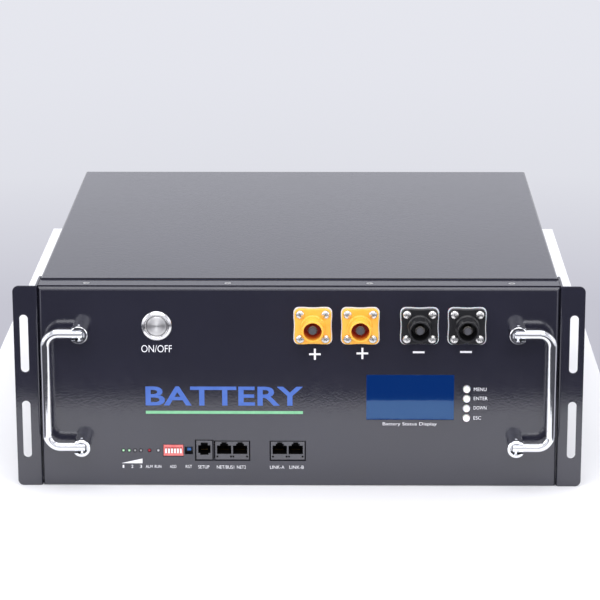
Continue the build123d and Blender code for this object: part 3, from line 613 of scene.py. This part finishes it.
def crossCutters(arm, width, depth, crown):
    # the two bars of a cross recess, sunk from the crown of a head that faces -Y
    bars = []
    for across, upward in ((2 * arm, width), (width, 2 * arm)):
        bar = bmesh.new()
        made = bmesh.ops.create_cube(bar, size=1.0)["verts"]
        bmesh.ops.scale(bar, vec=(across * mm, 2 * depth * mm, upward * mm), verts=made)
        bmesh.ops.translate(bar, vec=(0, crown * mm, 0), verts=made)
        bars.append(bar)
    return bars


def makeScrewHead():
    # domed head with a cross recess, its seat at the origin and its crown towards -Y
    head = screwHead
    dome = head["rise"] - head["rim"]
    arc = [math.radians(90 * step / head["arcSteps"]) for step in range(head["arcSteps"] + 1)]
    profile = [(head["radius"] * math.sin(a), -head["rim"] - dome * math.cos(a)) for a in arc]
    profile += [(head["radius"], 0.0), (head["shank"], 0.0)]
    profile += [(head["shank"], head["length"]), (0.0, head["length"])]
    cutters = crossCutters(head["crossArm"], head["crossWidth"], head["crossDepth"], -head["rise"])
    return cutAway(lathe(profile, origin, steps=head["steps"]), cutters)


def makeConnectorScrews():
    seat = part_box("connector_screws")[1].y - screwHead["length"] * mm
    offset = connector["screwOffset"] * mm
    screws = bmesh.new()
    turn = math.radians(screwHead["firstTurn"])
    for node in connectorFinish:
        middle = boxCentre(node)
        for upward in (-offset, offset):
            for across in (-offset, offset):
                head = makeScrewHead()
                bmesh.ops.rotate(head, verts=head.verts, cent=origin, matrix=Matrix.Rotation(turn, 3, "Y"))
                bmesh.ops.translate(head, verts=head.verts,
                                    vec=(middle.x + across, seat, middle.z + upward))
                joinInto(screws, head)
                turn += math.radians(screwHead["turnStep"])   # each screw stops at its own angle
    addPiece("connectorScrews", screws, stainlessScrew, node="connector_screws")


for node, material in connectorFinish.items():
    makeConnector(node, material)
makeConnectorScrews()
dress("contact_tips", greyTip, connector["tipEdge"])
dress("power_contacts", silverPlate)
dress("panel_seals", gasketSilicone)
print("connectors made")


# keys, sockets, small switches and lamps

# radius and distance behind the front, in millimetres
keyShape = {
    "steps": 40,
    "profile": [(0.0, 0.0), (1.5, 0.04), (2.2, 0.18), (2.62, 0.48), (2.87, 0.9), (2.95, 1.4), (2.95, 5.7),
                (4.0, 5.7), (4.0, 6.7), (1.75, 6.7), (1.75, 10.2), (0.0, 10.2)],
}


def makeKey(node):
    middle = boxCentre(node)
    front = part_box(node)[0].y
    key = lathe(keyShape["profile"], Vector((middle.x, front, middle.z)), steps=keyShape["steps"])
    addPiece(pieceName(node), key, whiteSilicone, node=node, smoothAngle=40)


for node in ("menu_key", "enter_key", "down_key", "escape_key"):
    makeKey(node)

mouldedEdge = 0.12   # how far a small moulded part's edges are broken, in millimetres
lensEdge = 0.1
socketFace = {"thick": 0.6, "border": 0.3}


def makeSocket(node):
    # the face is pale with reflected light, and everything behind it gets the near black painted shade
    socket = dress(node, socketPolyester, mouldedEdge)
    socket.data.materials.append(socketPaintedShade)
    low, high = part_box(node)
    for face in socket.data.polygons:
        centre = face.center
        inward = min(centre.x - low.x, high.x - centre.x, centre.z - low.z, high.z - centre.z)
        if centre.y > low.y + socketFace["thick"] * mm and inward > socketFace["border"] * mm:
            face.material_index = 1


for node in ("service_jack", "network_jack", "link_jack"):
    makeSocket(node)
dress("address_switch", redPolyester, mouldedEdge)
for number in range(1, 7):
    dress("address_slider_%d" % number, whiteSilicone, mouldedEdge)
dress("reset_switch", blackNylon, mouldedEdge)
dress("reset_button", blueAcetal, mouldedEdge)


# bright is where the paint stops, lip is how far a painted rim stands below the bright face
stripScrew = {"bright": 2.8, "rim": 4.0, "lip": 0.06, "rimEdge": 0.15, "cone": 2.2, "shank": 2.0, "steps": 32,
              "crossArm": 1.7, "crossWidth": 0.75, "crossDepth": 0.9,
              "count": 4, "firstTurn": 20, "turnStep": 35}


def makeStripScrews():
    # countersunk screws whose rims were painted with the case
    shape = stripScrew
    low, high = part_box("panel_screws")
    length = (high.z - low.z) / mm
    middleY = (low.y + high.y) / 2
    profile = [(0.0, 0.0), (shape["bright"], 0.0), (shape["bright"] + 0.1, shape["lip"]),
               (shape["rim"] - 0.1, shape["lip"]), (shape["rim"], shape["rimEdge"]),
               (shape["shank"], shape["cone"]), (shape["shank"], length), (0.0, length)]
    first = low.x + shape["rim"] * mm
    pitch = (high.x - low.x - 2 * shape["rim"] * mm) / (shape["count"] - 1)
    lay = Matrix.Rotation(math.radians(-90), 3, "X")
    screws = bmesh.new()
    for index in range(shape["count"]):
        cutters = crossCutters(shape["crossArm"], shape["crossWidth"], shape["crossDepth"], 0.0)
        screw = cutAway(lathe(profile, origin, steps=shape["steps"]), cutters)
        turn = Matrix.Rotation(math.radians(shape["firstTurn"] + shape["turnStep"] * index), 3, "Z")
        bmesh.ops.rotate(screw, verts=screw.verts, cent=origin, matrix=lay)
        bmesh.ops.rotate(screw, verts=screw.verts, cent=origin, matrix=turn)
        bmesh.ops.translate(screw, verts=screw.verts, vec=(first + pitch * index, middleY, high.z))
        joinInto(screws, screw)
    piece = addPiece("panelScrews", screws, stainlessScrew, node="panel_screws")
    piece.data.materials.append(powderCoat)
    for face in piece.data.polygons:
        nearest = round((face.center.x - first) / pitch)
        reach = math.hypot(face.center.x - first - pitch * nearest, face.center.y - middleY)
        if reach > shape["bright"] * mm:
            face.material_index = 1


makeStripScrews()
dress("side_screws", blackNylon, mouldedEdge)
dress("display_lens", windowAcrylic, lensEdge)
print("controls made")


# foot is the width of one lamp's foot, belowTop how far the axes lie under the top of the row's box
lampShape = {
    "steps": 28, "chargeLamps": 4, "lit": 2, "foot": 3.2, "belowTop": 1.7, "glowReach": 1.5,
    "profile": [(0.0, 0.0), (0.55, 0.06), (1.0, 0.28), (1.32, 0.62), (1.48, 1.05), (1.5, 1.5), (1.5, 5.0),
                (0.0, 5.0)],
}


def makeLamps():
    # the row of charge lamps, of which the first are lit, and the alarm and run lamps
    shape = lampShape
    low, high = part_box("charge_lights")
    first = low.x + shape["foot"] / 2 * mm
    pitch = (high.x - low.x - shape["foot"] * mm) / (shape["chargeLamps"] - 1)
    height = high.z - shape["belowTop"] * mm
    chargeX = [first + pitch * index for index in range(shape["chargeLamps"])]
    kinds = [("chargeLampsLit", greenLamp, "charge_lights", chargeX[:shape["lit"]]),
             ("chargeLampsDark", clearLampPaintedGlint, "charge_lights", chargeX[shape["lit"]:]),
             ("alarmLamp", redLampPaintedGlint, "alarm_light", [boxCentre("alarm_light").x]),
             ("runLamp", runLampPaintedGlint, "run_light", [boxCentre("run_light").x])]
    for name, material, node, places in kinds:
        bm = bmesh.new()
        for x in places:
            joinInto(bm, lathe(shape["profile"], Vector((x, low.y, height)), steps=shape["steps"]))
        # glow falls off from each lamp's axis: the die's light on the lit lamps, a painted glint on the dark
        # ones
        glow = bm.verts.layers.float.new("glow")
        for vert in bm.verts:
            reach = min(math.hypot(vert.co.x - x, vert.co.z - height) for x in places)
            vert[glow] = max(0.0, 1.0 - reach / (shape["glowReach"] * mm))
        addPiece(name, bm, material, node=node)


makeLamps()
print("lamps made")


# printed marks

marks = {
    # word, left end, right end, middle height and height of the capitals, in millimetres from the origin
    "power": ("ON/OFF", -133.3, -107.4, 122.5, 6.3),
    "display": ("Battery Status Display", 71.5, 117.5, 56.1, 2.7),
    "menu": ("MENU", 148.7, 159.4, 87.0, 3.0),
    "enter": ("ENTER", 148.7, 160.4, 78.9, 3.0),
    "down": ("DOWN", 148.7, 159.6, 70.5, 3.0),
    "escape": ("ESC", 148.7, 155.2, 61.6, 3.0),
    "levelLow": ("1", -151.3, -149.9, 17.2, 2.7),
    "levelMid": ("2", -144.0, -142.0, 17.2, 2.7),
    "levelHigh": ("3", -136.6, -134.6, 17.2, 2.7),
    "alarm": ("ALM", -131.5, -125.6, 17.2, 2.7),
    "run": ("RUN", -123.7, -118.1, 17.2, 2.7),
    "address": ("ADD", -110.7, -105.1, 17.2, 2.7),
    "reset": ("RST", -97.1, -91.7, 17.2, 2.7),
    "service": ("SETUP", -86.4, -76.8, 16.9, 2.9),
    "networkOne": ("NET/BUS1", -70.4, -55.6, 16.8, 2.9),
    "networkTwo": ("NET2", -53.2, -45.5, 16.8, 2.9),
    "linkOne": ("LINK-A", -24.8, -12.5, 16.8, 2.9),
    "linkTwo": ("LINK-B", -8.2, 4.1, 16.8, 2.9),
}
# weight thins or thickens the strokes, as a share of the letter height
markWeight = -0.006
badge = {"word": "BATTERY", "left": -130.5, "right": 3.5, "middle": 80.6, "capitals": 17.0, "weight": 0.02,
         "ruleMiddle": 66.0, "ruleHeight": 2.6}
# the middles of the plus and minus signs, and the corners of the charge wedge and its height at the thin end
signs = {"arm": 9.9, "stroke": 1.7,
         "plus": ((13.7, 117.9), (53.9, 118.7)),
         "minus": ((101.5, 119.8), (141.5, 120.1)),
         "wedgeLeft": -152.0, "wedgeRight": -134.2, "wedgeLow": 20.1, "wedgeHigh": 24.3, "wedgeThin": 0.1}
inkHeight = 0.03


def printWord(word, left, right, middle, capitals, weight):
    # raised ink in the shape of the word, stretched to run from left to right
    curve = bpy.data.curves.new("word", "FONT")
    curve.body = word
    curve.size = 1.0
    curve.offset = weight
    curve.resolution_u = 4
    text = bpy.data.objects.new("word", curve)
    bpy.context.scene.collection.objects.link(text)
    bpy.context.view_layer.update()
    mesh = bpy.data.meshes.new_from_object(text.evaluated_get(bpy.context.evaluated_depsgraph_get()))
    bpy.data.objects.remove(text)
    bm = bmesh.new()
    bm.from_mesh(mesh)
    bpy.data.meshes.remove(mesh)
    across = [vert.co.x for vert in bm.verts]
    upward = [vert.co.y for vert in bm.verts]
    start = min(across)
    width = max(across) - start
    foot = min(0.0, min(upward)) if word.isupper() else 0.0
    height = max(upward) - foot
    made = bmesh.ops.extrude_face_region(bm, geom=list(bm.faces))["geom"]
    bmesh.ops.translate(bm, verts=[g for g in made if isinstance(g, bmesh.types.BMVert)], vec=(0, 0, 1))
    bmesh.ops.recalc_face_normals(bm, faces=bm.faces)
    place = Matrix.Translation((left * mm, faceY, (middle - capitals / 2) * mm))
    place = place @ Matrix.Rotation(math.radians(90), 4, "X")
    place = place @ Matrix.Diagonal(((right - left) * mm / width, capitals * mm / height, inkHeight * mm, 1))
    bmesh.ops.transform(bm, matrix=place @ Matrix.Translation((-start, -foot, 0)), verts=bm.verts)
    return bm


def printMarks():
    words = bmesh.new()
    for word, left, right, middle, capitals in marks.values():
        joinInto(words, printWord(word, left, right, middle, capitals, markWeight))
    addPiece("panelWords", words, whiteInk)


def flatBar(bm, x, z, width, height):
    made = bmesh.ops.create_cube(bm, size=1.0)["verts"]
    bmesh.ops.scale(bm, vec=(width * mm, inkHeight * mm, height * mm), verts=made)
    bmesh.ops.translate(bm, vec=(x * mm, faceY - inkHeight * mm / 2, z * mm), verts=made)
    return made


def printSigns():
    bm = bmesh.new()
    arm, stroke = signs["arm"], signs["stroke"]
    for x, z in signs["plus"]:
        flatBar(bm, x, z, arm, stroke)
        for side in (-1, 1):   # the upright is two bars, so that no face lies in another
            flatBar(bm, x, z + side * (arm + stroke) / 4, stroke, (arm - stroke) / 2)
    for x, z in signs["minus"]:
        flatBar(bm, x, z, arm, stroke)
    left, right, low, high = signs["wedgeLeft"], signs["wedgeRight"], signs["wedgeLow"], signs["wedgeHigh"]
    wedge = flatBar(bm, (left + right) / 2, (low + high) / 2, right - left, high - low)
    for vert in wedge:
        if vert.co.x < (left + right) / 2 * mm and vert.co.z > (low + high) / 2 * mm:
            vert.co.z = (low + signs["wedgeThin"]) * mm
    addPiece("panelSigns", bm, whiteInk)


def printBadge():
    # a plain word with a plain rule under it
    left, right = badge["left"], badge["right"]
    word = printWord(badge["word"], left, right, badge["middle"], badge["capitals"], badge["weight"])
    addPiece("badgeWord", word, blueInk)
    rule = bmesh.new()
    flatBar(rule, (left + right) / 2, badge["ruleMiddle"], right - left, badge["ruleHeight"])
    addPiece("badgeRule", rule, greenInk)


printMarks()
printSigns()
printBadge()
print("marks printed")

# finishes for the CAD nodes that stay

insideFinish = {
    "lcd_module": screenBlue, "display_board": solderMask, "comms_board": blackMask,
    "bms_board": solderMask, "key_switches": blackNylon, "jack_contacts": goldFlashPaintedShade,
    "board_fixings": zincPlate, "handle_screws": zincPlate, "switch_nut": zincPlate, "cells": cellWrap,
    "cell_terminals": millAluminium, "busbars": barCopper, "busbar_bolts": zincPlate,
    "cell_clamp": millAluminium, "base_pad": epoxySheet, "bms_heatsink": millAluminium,
    "positive_cable": redJacket, "negative_cables": blackJacket,
}
for node, material in insideFinish.items():
    mesh = cadNodes[node].data
    mesh.materials.clear()
    mesh.materials.append(material)
print("inside finished")


# stage, lights and camera

# millimetres from the origin
stageShape = {"left": -309, "right": 290, "front": -460, "back": 700, "thick": 25, "apron": 900,
              "pitWidth": 9000, "pitNear": -600, "pitFar": -9000, "pitDrop": 700,
              "tableColour": "#f4f4f6", "tableRoughness": 0.5, "pitColour": "#38383f", "pitRoughness": 0.9}


def stageMaterial(name, colour, roughness):
    material, _, shader, _ = startMaterial(name, Roughness=roughness)
    shader.inputs["Base Color"].default_value = linear(colour)
    return material


def stageBlock(name, low, high, material):
    # a plain block between two corners in millimetres
    bm = bmesh.new()
    made = bmesh.ops.create_cube(bm, size=1.0)["verts"]
    size = Vector(high) - Vector(low)
    bmesh.ops.scale(bm, vec=size * mm, verts=made)
    bmesh.ops.translate(bm, vec=(Vector(high) + Vector(low)) / 2 * mm, verts=made)
    mesh = bpy.data.meshes.new(name)
    bm.to_mesh(mesh)
    bm.free()
    mesh.materials.append(material)
    block = bpy.data.objects.new(name, mesh)
    bpy.context.scene.collection.objects.link(block)
    return block


def makeStage():
    shape = stageShape
    left, right, front, thick = shape["left"], shape["right"], shape["front"], shape["thick"]
    paleTop = stageMaterial("paleTableTop", shape["tableColour"], shape["tableRoughness"])
    dimPit = stageMaterial("dimStudioFloor", shape["pitColour"], shape["pitRoughness"])
    stageBlock("table", (left, front, -thick), (right, shape["back"], 0), paleTop)
    # the strip in front of the table is seen but not mirrored, and the dim floor is mirrored but not seen
    apron = stageBlock("tableApron", (left, front - shape["apron"], -thick), (right, front, 0), paleTop)
    apron.visible_glossy = False
    apron.visible_transmission = False
    halfPit = shape["pitWidth"] / 2
    pit = stageBlock("dimFloor", (-halfPit, shape["pitFar"], -shape["pitDrop"] - thick),
                     (halfPit, shape["pitNear"], -shape["pitDrop"]), dimPit)
    pit.visible_camera = False
    pit.visible_diffuse = False


makeStage()

# place and target in metres, size in metres, power in watts
studioLights = {
    "overhead": {"place": (0.0, -0.1, 2.2), "target": (0, 0, 0.1), "size": (2.4, 2.0), "power": 28},
    "frontTop": {"place": (0.0, -2.0, 1.9), "target": (0, -0.3, 0.0), "size": (2.4, 1.0), "power": 30},
    "leftSide": {"place": (-2.2, -1.0, 1.1), "target": (0, -0.1, 0.1), "size": (0.9, 1.6), "power": 12},
    "rightSide": {"place": (2.2, -0.9, 1.0), "target": (0, -0.1, 0.1), "size": (0.9, 1.6), "power": 8},
}


def addLight(name, look):
    light = bpy.data.lights.new(name, "AREA")
    light.shape = "RECTANGLE"
    light.size, light.size_y = look["size"]
    light.energy = look["power"]
    softbox = bpy.data.objects.new(name, light)
    softbox.location = look["place"]
    aim = Vector(look["target"]) - Vector(look["place"])
    softbox.rotation_euler = aim.to_track_quat("-Z", "Y").to_euler()
    bpy.context.scene.collection.objects.link(softbox)


for name, look in studioLights.items():
    addLight(name, look)

# the room round the stage: its colour at each height above the horizon, in degrees
roomBands = [(-90, "#a2a2ac"), (-19, "#a9a9b4"), (-15.4, "#b4b4be"), (-12.6, "#cbccd3"),
             (-10.5, "#cfd0d7"), (0, "#d7d8de"), (8, "#edeef5"), (12.6, "#ecedf6"), (15, "#c3c4cc"),
             (20, "#c0c1c8"), (90, "#cacad0")]
roomStrength = 1.25


def makeRoom():
    world = bpy.data.worlds.new("softRoom")
    bpy.context.scene.world = world
    world.use_nodes = True
    tree = world.node_tree
    direction = addNode(tree, "TexCoord").outputs["Generated"]
    height = addNode(tree, "SeparateXYZ", {"Vector": direction}).outputs["Z"]
    share = addNode(tree, "MapRange", {"Value": height, "From Min": -1.0, "From Max": 1.0})
    stops = [(0.5 + 0.5 * math.sin(math.radians(angle)), linear(colour)) for angle, colour in roomBands]
    bands = addNode(tree, "ValToRGB", {"Fac": share.outputs["Result"]}, stops=stops)
    background = tree.nodes["Background"]
    tree.links.new(bands.outputs["Color"], background.inputs["Color"])
    background.inputs["Strength"].default_value = roomStrength


makeRoom()

# place in millimetres, angles in degrees
cameraSetup = {"place": (33.54, -2319.98, 745.73), "yaw": -0.8815, "pitch": 15.444, "roll": -0.1461,
               "lens": 155.3, "sensor": 36, "farthest": 20}


def placeCamera():
    camera = bpy.data.cameras.new("viewCamera")
    camera.lens = cameraSetup["lens"]
    camera.sensor_width = cameraSetup["sensor"]
    camera.clip_end = cameraSetup["farthest"]
    viewer = bpy.data.objects.new("viewCamera", camera)
    turn = (Matrix.Rotation(math.radians(-cameraSetup["yaw"]), 4, "Z")
            @ Matrix.Rotation(math.radians(90 - cameraSetup["pitch"]), 4, "X")
            @ Matrix.Rotation(math.radians(cameraSetup["roll"]), 4, "Z"))
    viewer.matrix_world = Matrix.Translation(Vector(cameraSetup["place"]) * mm) @ turn
    bpy.context.scene.collection.objects.link(viewer)
    bpy.context.scene.camera = viewer


placeCamera()
bpy.context.scene.view_settings.view_transform = "Standard"
print("stage set")
